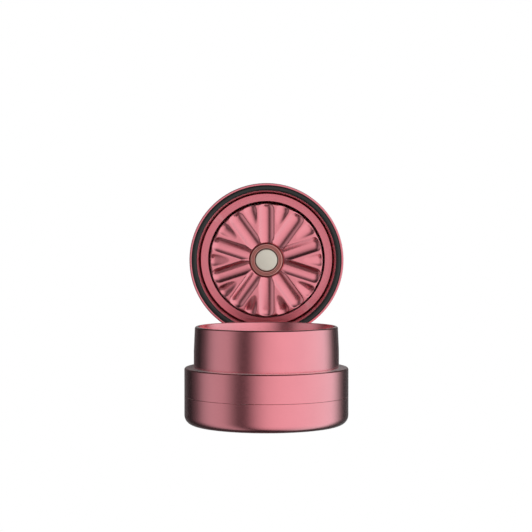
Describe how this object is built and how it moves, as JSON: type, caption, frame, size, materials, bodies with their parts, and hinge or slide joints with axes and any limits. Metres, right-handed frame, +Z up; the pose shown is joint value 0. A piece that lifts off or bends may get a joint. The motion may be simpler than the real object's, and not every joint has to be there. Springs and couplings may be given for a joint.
{
  "type": "pill mill",
  "caption": "Round hand mill for pills: a lid with a sprung fluted rotor, a necked body with a ridged stator, and a screw-on catch cup.",
  "frame": {"origin": "centre of the catch cup's flat foot, where the mill stands", "axes": "+Z up along the body's axis; the open lid stands behind at +Y with its mouth facing -Y; +X to the right seen from the front"},
  "size_m": [0.063, 0.1015, 0.0935],
  "materials": {
    "rose_anodised": "satin rose anodising over fine bead blasting",
    "seal_rubber": "matte",
    "stator_steel": "satin machined",
    "screw_steel": "turned",
    "magnet_nickel": "satin nickel plating",
    "ring_bronze": "turned, brown rose anodising",
    "washer_plastic": "matte",
    "bush_brass": "turned",
    "glide_plastic": "satin black nylon",
    "hub_aluminium": "turned"
  },
  "bodies": {
    "cup": {"catch_cup": "rose_anodised"},
    "seal": {"cup_seal": "seal_rubber"},
    "body": {"drum_collar": "rose_anodised", "neck_sleeve": "rose_anodised", "stator": "stator_steel", "stator_retainer": "screw_steel", "stator_screws": "screw_steel", "magnet_cup": "screw_steel", "lower_magnet": "magnet_nickel"},
    "pivot": {"pivot_pin": "screw_steel", "pivot_ring": "ring_bronze", "rotor_magnet": "magnet_nickel", "thrust_washer": "washer_plastic", "pivot_nut": "screw_steel"},
    "rotor": {"rotor": "rose_anodised", "rotor_shaft": "screw_steel", "pivot_bush": "bush_brass"},
    "lid": {"lid_shell": "rose_anodised", "lid_liner": "rose_anodised", "glide_ring": "glide_plastic", "drive_hub": "hub_aluminium", "hub_screws": "screw_steel", "rotor_spring": "screw_steel"}
  },
  "joints": [
    {"name": "body_turn", "type": "hinge", "parent": "cup", "child": "seal", "pos_m": [0, 0, 0.0109], "axis": [0, 0, 1], "range_deg": [0, 450]},
    {"name": "body_rise", "type": "slide", "parent": "seal", "child": "body", "axis": [0, 0, 1], "range_m": [0, 0.006]},
    {"name": "lid_swing", "type": "hinge", "parent": "body", "child": "pivot", "pos_m": [0, 0.03425, 0.02775], "axis": [1, 0, 0], "range_deg": [0, 90]},
    {"name": "rotor_turn", "type": "hinge", "parent": "pivot", "child": "rotor", "pos_m": [0, 0.0385, 0.062], "axis": [0, -1, 0], "continuous": true},
    {"name": "rotor_float", "type": "slide", "parent": "rotor", "child": "lid", "axis": [0, 1, 0], "range_m": [-0.01, 0], "stiffness_N_per_m": 60, "springref_m": 0.02, "deforming": ["rotor_spring"]}
  ],
  "couplings": [
    {"joint": "body_rise", "follows": "body_turn", "m_per_rad": 0.00076394}
  ]
}
